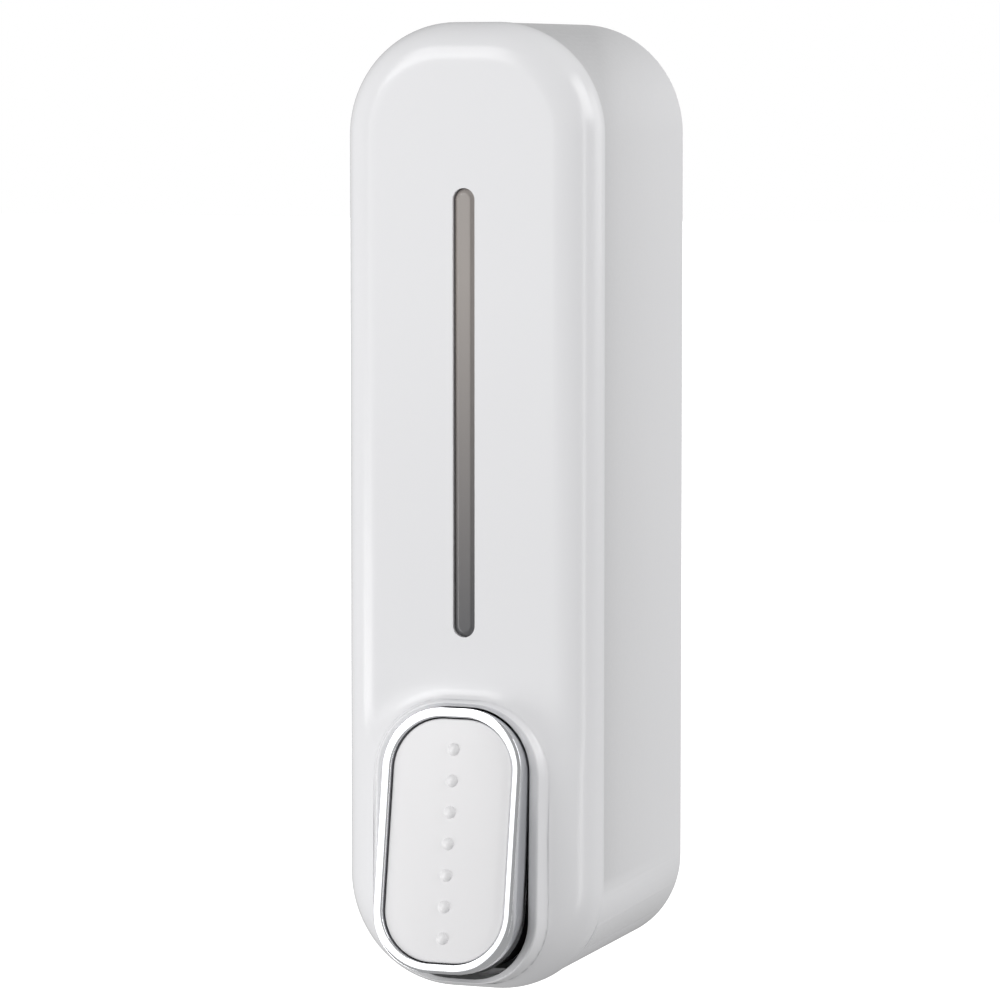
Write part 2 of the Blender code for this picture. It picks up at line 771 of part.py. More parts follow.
def pump_body():
    """Mounting plate, the cylinder on it, and the inlet tower and outlet spout that cross it."""
    low, high = SCREW_HEIGHTS["lower"] - 5, SCREW_HEIGHTS["upper"] + 5
    outline = rounded_outline(SCREW_X + 5, low, high, 4.0, 4.0, 4)
    ends = (PLATE_FRONT_Y, PLATE_REAR_Y)
    body = loft("pump_body", [[(x, y, z) for x, z in outline] for y in ends], pump_plastic())
    cylinder = [(CYLINDER_RADIUS, PLATE_FRONT_Y + 1.0), (CYLINDER_RADIUS, CYLINDER_FRONT_Y)]
    tower = [(8.6, PUMP_Z), (8.6, FLOOR + 66.0)]
    spout = [(7.4, PUMP_Z), (7.4, FLOOR + 10.0)]
    web = box("web", (-1.5, PORT_Y, FLOOR + 12.5), (1.5, PLATE_FRONT_Y + 1.0, FLOOR + 61.0), pump_plastic())
    join(
        body,
        turned_forward("cylinder", cylinder, 0.0, PUMP_Z, pump_plastic()),
        turned_upright("tower", tower, 0.0, PORT_Y, pump_plastic()),
        turned_upright("spout", spout, 0.0, PORT_Y, pump_plastic()),
        web,
    )
    bore = [(BORE, CYLINDER_FRONT_Y - 1), (BORE, CHAMBER_REAR_Y)]
    inlet = [(6.3, FLOOR + 67.0), (6.3, FLOOR + 57.0), (5.6, FLOOR + 57.0), (5.6, FLOOR + 41.5)]
    outlet = [(2.0, PUMP_Z), (2.0, FLOOR + 20.0), (4.3, FLOOR + 20.0), (4.3, FLOOR + 9.0)]
    port = [(x, PORT_Y + y) for x, y in stadium_flat(4.8, 1.7)]
    cut(
        body,
        turned_forward("cutter", bore, 0.0, PUMP_Z, pump_plastic()),
        turned_upright("cutter", inlet, 0.0, PORT_Y, pump_plastic()),
        turned_upright("cutter", outlet, 0.0, PORT_Y, pump_plastic()),
        loft("cutter", [[(x, y, z) for x, y in port] for z in (PUMP_Z, PUMP_Z + 13.0)], pump_plastic()),
    )
    for x, z in pump_screw_places():
        hole = [(SCREW_HOLE, PLATE_FRONT_Y - 3), (SCREW_HOLE, PLATE_REAR_Y + 1.2)]
        cut(body, turned_forward("cutter", hole, x, z, pump_plastic(), steps=20))
    shade(body)
    return body


def stadium_flat(half_length, half_width):
    """A slot outline in x and y, rounded at its two ends."""
    centre = half_length - half_width
    right = [(centre + half_width * math.cos(math.radians(a)), half_width * math.sin(math.radians(a)))
             for a in range(-90, 91, 30)]
    return right + [(-x, -y) for x, y in right]


def cylinder_cap():
    """Ring that closes the front of the cylinder and guides the piston rod."""
    seat = CYLINDER_FRONT_Y - GAP
    inside = CYLINDER_FRONT_Y + 1.4
    guide = 3.8
    profile = [
        (guide, CAP_FRONT_Y), (CYLINDER_RADIUS - 0.6, CAP_FRONT_Y), (CYLINDER_RADIUS, CAP_FRONT_Y + 0.6),
        (CYLINDER_RADIUS, seat), (BORE - GAP, seat), (BORE - GAP, inside), (guide, inside),
    ]
    cap = turned_forward("cylinder_cap", profile, 0.0, PUMP_Z, piston_plastic(), closed=True)
    shade(cap)
    return cap


def piston():
    """Rod and head in one, with a groove for the seal between two lands."""
    profile = [
        (3.5, -51.0), (3.5, -32.3), (6.7, -32.3), (6.7, -31.2), (5.2, -31.2),
        (5.2, -29.2), (6.7, -29.2), (6.7, -28.1), (4.0, -27.6),
    ]
    made = turned_forward("piston", profile, 0.0, PUMP_Z, piston_plastic())
    shade(made)
    return made


def piston_seal():
    profile = [(5.5, -30.9), (6.7, -30.9), (7.0, -30.6), (7.0, -29.8), (6.7, -29.5), (5.5, -29.5)]
    made = turned_forward("piston_seal", profile, 0.0, PUMP_Z, rubber(), closed=True)
    shade(made)
    return made


def plunger_cap():
    """Cup on the end of the piston rod. The pusher presses on it and the spring stands behind it."""
    profile = [
        (3.8, PLUNGER_FRONT_Y + 1.9), (3.8, SPRING_SEAT_Y), (8.0, SPRING_SEAT_Y), (8.0, SPRING_SEAT_Y - 1.5),
        (6.5, SPRING_SEAT_Y - 2.1), (6.5, PLUNGER_FRONT_Y + 0.6), (5.9, PLUNGER_FRONT_Y),
    ]
    made = turned_forward("plunger_cap", profile, 0.0, PUMP_Z, pump_plastic())
    shade(made)
    return made


def return_spring():
    wire = 0.45
    start = CAP_FRONT_Y - GAP - wire
    end = SPRING_SEAT_Y + GAP + wire

    def place(a, b, along):
        return a, along, PUMP_Z + b

    made = coil("return_spring", 5.6, wire, 5.0, start, end, place, steel())
    shade(made)
    return made


def valve_ball(name, radius, z):
    """A steel ball on the port axis, with its origin at its middle."""
    profile = [
        (radius * math.cos(math.radians(angle)), z + radius * math.sin(math.radians(angle)))
        for angle in (-80, -55, -30, -10, 10, 30, 55, 80)
    ]
    made = turned_upright(name, profile, 0.0, PORT_Y, steel(), steps=16)
    shade(made)
    move_origin(made, 0.0, PORT_Y, z)
    return made


def inlet_seat():
    """Pressed-in seat that the inlet ball closes from below."""
    profile = [
        (2.5, FLOOR + 49.0), (5.3, FLOOR + 49.0), (5.3, FLOOR + 57.3),
        (6.0, FLOOR + 57.3), (6.0, FLOOR + 58.8), (2.5, FLOOR + 58.8),
    ]
    made = turned_upright("inlet_seat", profile, 0.0, PORT_Y, piston_plastic(), closed=True)
    shade(made)
    return made


def outlet_spring():
    wire = 0.25

    def place(a, b, along):
        return a, PORT_Y + b, along

    start = NOZZLE_FLOOR + GAP + wire
    made = coil("outlet_spring", 2.1, wire, 5.0, start, NOZZLE_FLOOR + 6.3 - wire, place, steel())
    shade(made)
    return made


def nozzle():
    """Outlet spigot: it plugs into the spout, carries the valve spring, and ends in the drip tip."""
    tip = NOZZLE_FLOOR - 2.9
    profile = [
        (1.6, tip), (3.2, tip), (4.2, tip + 1.3), (6.6, tip + 1.3), (6.6, tip + 3.0),
        (4.0, tip + 3.0), (4.0, tip + 7.4), (3.1, tip + 7.4), (3.1, NOZZLE_FLOOR), (1.6, NOZZLE_FLOOR),
    ]
    made = turned_upright("nozzle", profile, 0.0, PORT_Y, piston_plastic(), closed=True)
    shade(made)
    return made


def ring_seal(name, inner, outer, low, high, look):
    """A flat rubber ring with broken edges, round the port axis."""
    profile = [
        (inner, low), (outer - 0.25, low), (outer, low + 0.25),
        (outer, high - 0.25), (outer - 0.25, high), (inner, high),
    ]
    made = turned_upright(name, profile, 0.0, PORT_Y, look, closed=True)
    shade(made)
    return made


# ---------------------------------------------------------------- reservoir

def bottle_ring(inset, z):
    """The bottle's outline seen from above, made smaller by inset."""
    half_depth = (BOTTLE_FRONT_Y - BOTTLE_REAR_Y) / -2 - inset
    centre_y = (BOTTLE_FRONT_Y + BOTTLE_REAR_Y) / 2
    corner = max(7.0 - inset, 0.6)
    outline = rounded_outline(BOTTLE_HALF - inset, -half_depth, half_depth, corner, corner, 5)
    return [(x, centre_y + y, z) for x, y in outline]


def reservoir():
    """A blow-moulded bottle, open at the top mouth and through the neck at the bottom."""
    low, high, wall = BOTTLE_LOW, BOTTLE_HIGH, BOTTLE_WALL
    outer = [
        (4.0, low), (1.2, low + 1.2), (0.0, low + 4.0),
        (0.0, high - 4.0), (1.2, high - 1.2), (4.0, high),
    ]
    bottle = loft("reservoir", [bottle_ring(inset, z) for inset, z in outer], bottle_plastic())
    neck = [(NECK_RADIUS, low + 1.0), (NECK_RADIUS, low - 3.1), (5.7, low - 3.1), (5.7, low - 12.0)]
    mouth = [(MOUTH_RADIUS, high - 1.0), (MOUTH_RADIUS, high + 4.0)]
    join(
        bottle,
        turned_upright("neck", neck, 0.0, PORT_Y, bottle_plastic()),
        turned_upright("mouth", mouth, 0.0, MOUTH_Y, bottle_plastic()),
    )
    mouth_bore = [(MOUTH_RADIUS - 1.5, high - 4.0), (MOUTH_RADIUS - 1.5, high + 6.0)]
    inner = [
        (4.0 + wall, low + wall), (1.2 + wall, low + wall + 1.0), (wall, low + 4.0 + wall),
        (wall, high - 4.0 - wall), (1.2 + wall, high - wall - 1.0), (4.0 + wall, high - wall),
    ]
    cut(
        bottle,
        loft("cutter", [bottle_ring(inset, z) for inset, z in inner], bottle_plastic()),
        turned_upright("cutter", [(4.0, low - 14.0), (4.0, low + 4.0)], 0.0, PORT_Y, bottle_plastic()),
        turned_upright("cutter", mouth_bore, 0.0, MOUTH_Y, bottle_plastic()),
    )
    shade(bottle)
    return bottle


def reservoir_lid():
    """Push-on cap with a shallow dish in its top."""
    low = BOTTLE_HIGH + 2 * GAP
    top = BOTTLE_HIGH + 7.5
    inside = MOUTH_RADIUS + GAP
    profile = [
        (inside, top - 1.6), (inside, low), (LID_RADIUS, low), (LID_RADIUS, top - 0.8),
        (LID_RADIUS - 0.8, top), (9.0, top), (8.4, top - 0.5),
    ]
    made = turned_upright("reservoir_lid", profile, 0.0, MOUTH_Y, lid_blue(), steps=40)
    shade(made)
    return made


def lid_gasket():
    low = BOTTLE_HIGH + 4.0 + GAP
    inner, outer = MOUTH_RADIUS - 1.4, MOUTH_RADIUS - 0.1
    profile = [(inner, low), (outer, low), (outer, low + 1.3), (inner, low + 1.3)]
    made = turned_upright("lid_gasket", profile, 0.0, MOUTH_Y, silicone(), closed=True)
    shade(made)
    return made


# ---------------------------------------------------------------- assembly

def build():
    clear_scene()
    back_plate()
    front_cover()
    window_lens()
    lens_frame()
    for name, z in zip(("lens_screw_lower", "lens_screw_upper"), lens_screw_heights()):
        screw(name, 0.0, z, FRAME_REAR_Y + GAP, LENS_FRONT_Y, 2.3, 1.0)

    for piece in (button_bezel(), button_pad(), button_carrier()):
        move_origin(piece, 0.0, HINGE_Y, HINGE_Z)
    for name, along in zip(("button_screw_upper", "button_screw_lower"), BUTTON_SCREWS):
        move_origin(button_screw(name, along), 0.0, HINGE_Y, HINGE_Z)
    button_hinge_pin()

    pump_body()
    cylinder_cap()
    for piece in (piston(), piston_seal(), plunger_cap(), return_spring()):
        move_origin(piece, 0.0, CYLINDER_FRONT_Y, PUMP_Z)
    inlet_seat()
    valve_ball("inlet_ball", INLET_BALL_RADIUS, INLET_BALL_Z)
    valve_ball("outlet_ball", OUTLET_BALL_RADIUS, OUTLET_BALL_Z)
    move_origin(outlet_spring(), 0.0, PORT_Y, NOZZLE_FLOOR)
    nozzle()
    ring_seal("nozzle_seal", 4.5, 6.4, FLOOR + 8.7, FLOOR + 9.7, rubber())
    ring_seal("inlet_grommet", 6.1, 8.5, FLOOR + 66.3, FLOOR + 68.6, rubber())
    for side, x in (("left", -SCREW_X), ("right", SCREW_X)):
        for level, z in SCREW_HEIGHTS.items():
            screw(f"pump_screw_{level}_{side}", x, z, PLATE_FRONT_Y - GAP, -1.6, 2.9, 1.2)

    move_origin(reservoir(), 0.0, PORT_Y, BOTTLE_LOW)
    for piece in (reservoir_lid(), lid_gasket()):
        move_origin(piece, 0.0, MOUTH_Y, BOTTLE_HIGH)


build()
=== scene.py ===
"""Looks of the wall mounted soap dispenser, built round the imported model.

Shapes are drawn in millimetres in the frame of the model: the wall is y = 0, the dispenser stands
out towards -Y, Z is up and FLOOR is the lowest point of the cover.
"""

import json
import math

import bmesh
import bpy
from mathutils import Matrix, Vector


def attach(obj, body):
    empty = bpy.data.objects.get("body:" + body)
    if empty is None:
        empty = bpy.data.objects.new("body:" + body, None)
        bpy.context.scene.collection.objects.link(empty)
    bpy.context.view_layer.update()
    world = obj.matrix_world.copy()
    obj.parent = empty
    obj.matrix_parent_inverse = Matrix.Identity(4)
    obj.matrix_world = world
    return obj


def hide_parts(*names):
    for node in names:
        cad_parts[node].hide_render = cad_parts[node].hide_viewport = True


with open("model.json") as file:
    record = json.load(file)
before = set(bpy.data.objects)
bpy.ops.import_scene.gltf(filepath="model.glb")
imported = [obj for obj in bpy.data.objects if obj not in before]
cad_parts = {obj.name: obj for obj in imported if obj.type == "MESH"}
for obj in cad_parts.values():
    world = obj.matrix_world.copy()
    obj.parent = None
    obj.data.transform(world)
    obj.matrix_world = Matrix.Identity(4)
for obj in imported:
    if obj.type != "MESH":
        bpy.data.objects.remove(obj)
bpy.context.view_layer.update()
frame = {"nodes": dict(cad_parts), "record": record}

MM = 0.001
FLOOR = -100.0

# Cover
HALF_WIDTH = 29.85
HEIGHT = 215.0
DEPTH = 62.8
CORNER = 24.8
FRONT_EDGE = 8.9
WALL = 2.2
REAR_LOW_CORNER = 21.3
REAR_STEP = 1.6
REAR_RISE = 1.0
SEAM = 0.12
REAR_Y = -0.5
INNER_FACE_Y = -DEPTH + WALL

SLOT_HALF = 2.59
SLOT_LOW = FLOOR + 79.4
SLOT_HIGH = FLOOR + 178.6

OPENING_HALF = 16.6
OPENING_LOW = FLOOR + 3.45
OPENING_HIGH = FLOOR + 64.2
OPENING_CORNER = 14.2
LOW_GROWTH = 0.34         # the opening grows less up and down than sideways
HIGH_GROWTH = 0.37
LOW_CORNER_GROWTH = 0.62
HIGH_CORNER_GROWTH = 0.75

COLLAR_HEIGHT = 5.2
COLLAR_TOP_SHARE = 0.55   # the collar is lower at the top of the button
COLLAR_CREST = 2.5        # outset of its crest
COLLAR_DROP = 0.9         # width of the steep half of its fall
COLLAR_FADE = 4.4         # width of the gentle half
COLLAR_LOWERS = FLOOR + 35.0
COLLAR_LOWERS_OVER = 30.0
COLLAR_END = FLOOR + 84.0
LIP = 4.2                 # the inner part of the collar is a piece of its own up to here

DRIP_HOLE_RADIUS = 9.0
BOSS_ROOT_Y = INNER_FACE_Y - 0.6

# Button
TILT = math.radians(9.8)
FACE_TOP_Y = -DEPTH - 5.55
FACE_TOP_Z = FLOOR + 64.36
FACE_HALF = 16.4
FACE_LENGTH = 58.45
FACE_CORNER = 13.8
RIM_DEPTH = 8.4
BAND_WIDTH = 2.1          # the part of the rim that shows round the pad
BAND_DEPTH = 2.9
BUMPS = 7
BUMP_PITCH = 6.935
FIRST_BUMP = 9.13
BUMP_RADIUS = 1.6
BUMP_SINK = 0.75          # depth of a bump's centre below the face of the pad
PAD_DEPTH = 0.9
PAD_INSET = 2.4

HINGE_Y = -57.0
HINGE_Z = FLOOR + 60.0
PORT_Y = -19.0

CORNER_STEPS = 24


# ---------------------------------------------------------------- mesh helpers

def new_object(name, points, faces, look):
    mesh = bpy.data.meshes.new(name)
    mesh.from_pydata([[value * MM for value in point] for point in points], [], faces)
    work = bmesh.new()
    work.from_mesh(mesh)
    bmesh.ops.remove_doubles(work, verts=work.verts, dist=0.000001)
    bmesh.ops.recalc_face_normals(work, faces=work.faces)
    work.to_mesh(mesh)
    work.free()
    obj = bpy.data.objects.new(name, mesh)
    bpy.context.scene.collection.objects.link(obj)
    obj.data.materials.append(look)
    return obj


def loft(name, rings, look, closed=False, caps=True):
    """A surface through rings of equally many points, closed in a loop or capped at its ends."""
    count = len(rings[0])
    points = [point for ring in rings for point in ring]
    faces = []
    spans = len(rings) if closed else len(rings) - 1
    for span in range(spans):
        near = span * count
        far = (span + 1) % len(rings) * count
        for step in range(count):
            after = (step + 1) % count
            faces.append((near + step, near + after, far + after, far + step))
    if caps and not closed:
        faces.append(tuple(range(count)))
        faces.append(tuple(len(points) - count + step for step in range(count)))
    return new_object(name, points, faces, look)


def circle(radius, steps):
    turn = 2 * math.pi / steps
    return [(radius * math.cos(step * turn), radius * math.sin(step * turn)) for step in range(steps)]


def forward_tube(name, profile, x, z, look):
    """A tube along y, from a closed profile of (radius, y)."""
    rings = [[(x + a, y, z + b) for a, b in circle(radius, 48)] for radius, y in profile]
    return loft(name, rings, look, closed=True)


def sideways_rod(name, radius, start_x, end_x, y, z, look):
    rings = [[(x, y + a, z + b) for a, b in circle(radius, 32)] for x in (start_x, end_x)]
    return loft(name, rings, look)


def box(name, low, high, look):
    outline = [(low[0], low[1]), (high[0], low[1]), (high[0], high[1]), (low[0], high[1])]
    return loft(name, [[(x, y, z) for x, y in outline] for z in (low[2], high[2])], look)


def rounded_outline(half_width, low, high, radius_low, radius_high, steps=CORNER_STEPS):
    """(x, z) round a rectangle with rounded corners, from the right-hand side of the top corner on."""
    corners = [
        (half_width - radius_high, high - radius_high, radius_high, 0),
        (radius_high - half_width, high - radius_high, radius_high, 90),
        (radius_low - half_width, low + radius_low, radius_low, 180),
        (half_width - radius_low, low + radius_low, radius_low, 270),
    ]
    points = []
    for x, z, radius, start in corners:
        for step in range(steps + 1):
            angle = math.radians(start + 90 * step / steps)
            points.append((x + radius * math.cos(angle), z + radius * math.sin(angle)))
    return points


def cut(target, cutter):
    """Takes the cutter away from the target, and deletes the cutter."""
    change = target.modifiers.new("shape", "BOOLEAN")
    change.operation = "DIFFERENCE"
    change.solver = "EXACT"
    change.object = cutter
    graph = bpy.context.evaluated_depsgraph_get()
    shaped = bpy.data.meshes.new_from_object(target.evaluated_get(graph))
    target.modifiers.clear()
    target.data = shaped
    bpy.data.objects.remove(cutter)


def merge(name, parts):
    """One object from several that stand apart or lie in each other."""
    points = []
    faces = []
    look = parts[0].data.materials[0]
    for part in parts:
        start = len(points)
        points += [[value / MM for value in vertex.co] for vertex in part.data.vertices]
        faces += [tuple(start + index for index in face.vertices) for face in part.data.polygons]
        bpy.data.objects.remove(part)
    return new_object(name, points, faces, look)


def shade(obj, angle=40):
    obj.data.shade_smooth()
    obj.data.set_sharp_from_angle(angle=math.radians(angle))


# ---------------------------------------------------------------- materials

def start_material(name):
    """A new material, its node tree, its shader, and the object's own coordinates."""
    made = bpy.data.materials.new(name)
    made.use_nodes = True
    tree = made.node_tree
    shader = tree.nodes["Principled BSDF"]
    place = tree.nodes.new("ShaderNodeTexCoord")
    return made, tree, shader, place.outputs["Object"]


def noise(tree, place, scale, detail=3.0):
    node = tree.nodes.new("ShaderNodeTexNoise")
    node.inputs["Scale"].default_value = scale
    node.inputs["Detail"].default_value = detail
    tree.links.new(place, node.inputs["Vector"])
    return node.outputs["Fac"]


def ramp(tree, factor, low, high, start=0.3, end=0.7):
    """Colours from low to high as the factor goes from start to end."""
    node = tree.nodes.new("ShaderNodeValToRGB")
    node.color_ramp.elements[0].position = start
    node.color_ramp.elements[0].color = (*low, 1.0)
    node.color_ramp.elements[1].position = end
    node.color_ramp.elements[1].color = (*high, 1.0)
    tree.links.new(factor, node.inputs["Fac"])
    return node.outputs["Color"]


def spread(tree, factor, low, high):
    node = tree.nodes.new("ShaderNodeMapRange")
    node.inputs["To Min"].default_value = low
    node.inputs["To Max"].default_value = high
    tree.links.new(factor, node.inputs["Value"])
    return node.outputs["Result"]


def roughen(tree, shader, height, strength, distance):
    node = tree.nodes.new("ShaderNodeBump")
    node.inputs["Strength"].default_value = strength
    node.inputs["Distance"].default_value = distance
    tree.links.new(height, node.inputs["Height"])
    tree.links.new(node.outputs["Normal"], shader.inputs["Normal"])


def moulded_plastic(name, colour, roughness, shift=0.012, grain=0.0002):
    """Injection moulded plastic: faint clouds in the colour, a grain, and uneven gloss."""
    made, tree, shader, place = start_material(name)
    clouds = noise(tree, place, 28.0)
    low = [max(value - shift, 0.0) for value in colour]
    high = [min(value + shift, 1.0) for value in colour]
    tree.links.new(ramp(tree, clouds, low, high), shader.inputs["Base Color"])
    fine = noise(tree, place, 900.0, 4.0)
    tree.links.new(spread(tree, fine, roughness * 0.85, roughness * 1.15), shader.inputs["Roughness"])
    roughen(tree, shader, fine, 0.12, grain)
    shader.inputs["IOR"].default_value = 1.5
    return made


def plated(name, colour, roughness):
    """Chrome plating with faint waviness and wiping marks."""
    made, tree, shader, place = start_material(name)
    waves = noise(tree, place, 60.0, 2.0)
    low = [value * 0.96 for value in colour]
    tree.links.new(ramp(tree, waves, low, colour), shader.inputs["Base Color"])
    fine = noise(tree, place, 500.0)
    tree.links.new(spread(tree, fine, roughness * 0.6, roughness * 1.5), shader.inputs["Roughness"])
    roughen(tree, shader, waves, 0.02, 0.00005)
    shader.inputs["Metallic"].default_value = 1.0
    return made


def turned_steel(name):
    made, tree, shader, place = start_material(name)
    stretched = tree.nodes.new("ShaderNodeMapping")
    stretched.inputs["Scale"].default_value = (1.0, 6.0, 1.0)
    tree.links.new(place, stretched.inputs["Vector"])
    lines = noise(tree, stretched.outputs["Vector"], 700.0)
    tree.links.new(ramp(tree, lines, (0.5, 0.5, 0.52), (0.68, 0.68, 0.7)), shader.inputs["Base Color"])
    tree.links.new(spread(tree, lines, 0.2, 0.4), shader.inputs["Roughness"])
    roughen(tree, shader, lines, 0.1, 0.0001)
    shader.inputs["Metallic"].default_value = 1.0
    return made


def soft_rubber(name, colour, roughness):
    made, tree, shader, place = start_material(name)
    fine = noise(tree, place, 1200.0, 5.0)
    high = [min(value * 1.6 + 0.01, 1.0) for value in colour]
    tree.links.new(ramp(tree, fine, colour, high), shader.inputs["Base Color"])
    tree.links.new(spread(tree, fine, roughness * 0.85, roughness), shader.inputs["Roughness"])
    roughen(tree, shader, fine, 0.3, 0.0002)
    return made


def smoky_strip(name):
    """Smoky translucent bar: paler and warmer towards the top, darker towards the bottom."""
    made, tree, shader, place = start_material(name)
    parts = tree.nodes.new("ShaderNodeSeparateXYZ")
    tree.links.new(place, parts.inputs["Vector"])
    height = tree.nodes.new("ShaderNodeMapRange")
    height.inputs["From Min"].default_value = SLOT_LOW * MM
    height.inputs["From Max"].default_value = SLOT_HIGH * MM
    tree.links.new(parts.outputs["Z"], height.inputs["Value"])
    blend = ramp(tree, height.outputs["Result"], (0.13, 0.13, 0.135), (0.36, 0.33, 0.31), 0.0, 0.8)
    tree.links.new(blend, shader.inputs["Base Color"])
    fine = noise(tree, place, 400.0)
    tree.links.new(spread(tree, fine, 0.14, 0.24), shader.inputs["Roughness"])
    roughen(tree, shader, fine, 0.05, 0.0001)
    shader.inputs["IOR"].default_value = 1.5
    return made


def milky_bottle(name):
    """Blow-moulded polyethylene that lets some light through."""
    made, tree, shader, place = start_material(name)
    clouds = noise(tree, place, 45.0)
    tree.links.new(ramp(tree, clouds, (0.74, 0.78, 0.79), (0.82, 0.85, 0.86)), shader.inputs["Base Color"])
    fine = noise(tree, place, 500.0)
    tree.links.new(spread(tree, fine, 0.3, 0.42), shader.inputs["Roughness"])
    roughen(tree, shader, clouds, 0.08, 0.001)
    shader.inputs["Transmission Weight"].default_value = 0.35
    shader.inputs["IOR"].default_value = 1.45
    return made


LOOKS = {
    "gloss_white_abs": moulded_plastic("gloss white plastic", (0.83, 0.83, 0.845), 0.2, 0.003, 0.00001),
    "satin_white_abs": moulded_plastic("satin white plastic", (0.83, 0.825, 0.835), 0.34, 0.006, 0.0001),
    "chrome_plating": plated("chrome plating", (0.86, 0.87, 0.89), 0.06),
    "smoky_polycarbonate": smoky_strip("smoky window"),
    "grey_frame_abs": moulded_plastic("grey frame plastic", (0.4, 0.4, 0.41), 0.45),
    "matte_white_abs": moulded_plastic("matte white plastic", (0.72, 0.72, 0.72), 0.5, 0.015, 0.0003),
    # Black plastic, also used as painted shade: the button's carrier is black so that the gap round the
    # button looks as dark as its shadow
    "black_abs": moulded_plastic("black plastic and painted gap shade", (0.012, 0.012, 0.012), 0.5, 0.004, 0.0003),
    "milky_polyethylene": milky_bottle("milky bottle"),
    "pale_lid_polypropylene": moulded_plastic("lid plastic", (0.56, 0.61, 0.66), 0.38),
    "pump_acetal": moulded_plastic("pump plastic", (0.68, 0.69, 0.68), 0.36),
    "piston_acetal": moulded_plastic("dark pump plastic", (0.26, 0.28, 0.31), 0.36),
    "black_rubber": soft_rubber("black rubber", (0.02, 0.02, 0.02), 0.7),
    "clear_silicone": soft_rubber("silicone", (0.55, 0.5, 0.46), 0.5),
    "stainless_steel": turned_steel("stainless steel"),
}


def dress_cad_nodes():
    slots = {entry["node"]: entry["material_slot"] for entry in frame["record"]["subparts"]}
    for node, obj in frame["nodes"].items():
        for place in obj.material_slots:
            place.material = LOOKS[slots[node]]


# ---------------------------------------------------------------- cover

def side_points():
    """Heights along the straight sides, close together where the collar is."""
    low = FLOOR + CORNER
    high = FLOOR + HEIGHT - CORNER
    dense_end = FLOOR + 82.0
    dense = 76
    sparse = 30
    heights = [low + (dense_end - low) * step / dense for step in range(1, dense)]
    heights += [dense_end + (high - dense_end) * step / sparse for step in range(sparse)]
    return heights


def cover_outline(inset, raised=0.0, low_corner=CORNER):
    """(x, z) round the cover, with extra points on its straight sides."""
    plain = rounded_outline(
        HALF_WIDTH - inset,
        FLOOR + inset + raised,
        FLOOR + HEIGHT - inset,
        low_corner - inset,
        CORNER - inset,
    )
    arc = CORNER_STEPS + 1
    across = 6
    high_right, high_left, low_left, low_right = (plain[n * arc : (n + 1) * arc] for n in range(4))

    def between(start, end):
        return [
            (start[0] + (end[0] - start[0]) * step / across, start[1] + (end[1] - start[1]) * step / across)
            for step in range(1, across)
        ]

    heights = side_points()
    left = [(-HALF_WIDTH + inset, z) for z in reversed(heights)]
    right = [(HALF_WIDTH - inset, z) for z in heights]
    top = between(high_right[-1], high_left[0])
    bottom = between(low_left[-1], low_right[0])
    return high_right + top + high_left + left + low_left + bottom + low_right + right


def cover_ring(inset, y, raised=0.0, low_corner=CORNER):
    return [(x, y, z) for x, z in cover_outline(inset, raised, low_corner)]


def front_surface_drop(x, z):
    """How far the rounded front edge falls back from the flat face at x, z."""
    half_x = HALF_WIDTH - FRONT_EDGE
    half_z = HEIGHT / 2 - FRONT_EDGE
    corner = CORNER - FRONT_EDGE
    beyond_x = abs(x) - half_x + corner
    beyond_z = abs(z - FLOOR - HEIGHT / 2) - half_z + corner
    outside = math.hypot(max(beyond_x, 0.0), max(beyond_z, 0.0)) + min(max(beyond_x, beyond_z), 0.0) - corner
    reach = min(max(outside, 0.0), FRONT_EDGE)
    return FRONT_EDGE - math.sqrt(FRONT_EDGE**2 - reach**2)


def opening_sizes(outset):
    """Half width, lowest and highest edge, and low and high corner radius of the grown opening."""
    return (
        OPENING_HALF + outset,
        OPENING_LOW - outset * LOW_GROWTH,
        OPENING_HIGH + outset * HIGH_GROWTH,
        OPENING_CORNER + outset * LOW_CORNER_GROWTH,
        OPENING_CORNER + outset * HIGH_CORNER_GROWTH,
    )


def beyond_opening(x, z, outset):
    """Distance of a point from the opening grown by outset, negative inside it."""
    half, low, high, corner_low, corner_high = opening_sizes(outset)
    middle = (low + high) / 2
    corner = corner_high if z > middle else corner_low
    out_x = abs(x) - half + corner
    out_z = abs(z - middle) - (high - low) / 2 + corner
    return math.hypot(max(out_x, 0.0), max(out_z, 0.0)) + min(max(out_x, out_z), 0.0) - corner


def outset_at(x, z):
    """The outset at which the grown opening passes through a point, found by halving."""
    near, far = -3.0, 14.0
    halvings = 22
    if beyond_opening(x, z, far) > 0:
        return far
    if beyond_opening(x, z, near) < 0:
        return near
    for _ in range(halvings):
        middle = (near + far) / 2
        if beyond_opening(x, z, middle) > 0:
            near = middle
        else:
            far = middle
    return (near + far) / 2


def collar_height(z):
    """Full height beside the button, lower towards its top."""
    climb = min(max((z - COLLAR_LOWERS) / COLLAR_LOWERS_OVER, 0.0), 1.0)
    return COLLAR_HEIGHT * (1 - (1 - COLLAR_TOP_SHARE) * climb)


def collar_share(outset):
    """Share of the full height beyond the crest: a steep drop and a gentle fade."""
    beyond = max(outset - COLLAR_CREST, 0.0)
    return 0.5 * math.exp(-((beyond / COLLAR_DROP) ** 2)) + 0.5 * math.exp(-((beyond / COLLAR_FADE) ** 1.5))


def opening_ring(outset, share):
    """The grown opening laid on the front of the cover, raised by a share of the collar's height."""
    return [
        (x, -DEPTH + front_surface_drop(x, z) - share * collar_height(z), z)
        for x, z in rounded_outline(*opening_sizes(outset))
    ]


def prism(outline, front_y, rear_y):
    rings = [[(x, y, z) for x, z in outline] for y in (front_y, rear_y)]
    return loft("cutter", rings, LOOKS["gloss_white_abs"])


def stadium(half_width, low, high):
    """An upright slot. Its radius is just under half its width, so that no two points meet."""
    radius = half_width * 0.9999
    return rounded_outline(half_width, low, high, radius, radius, steps=16)


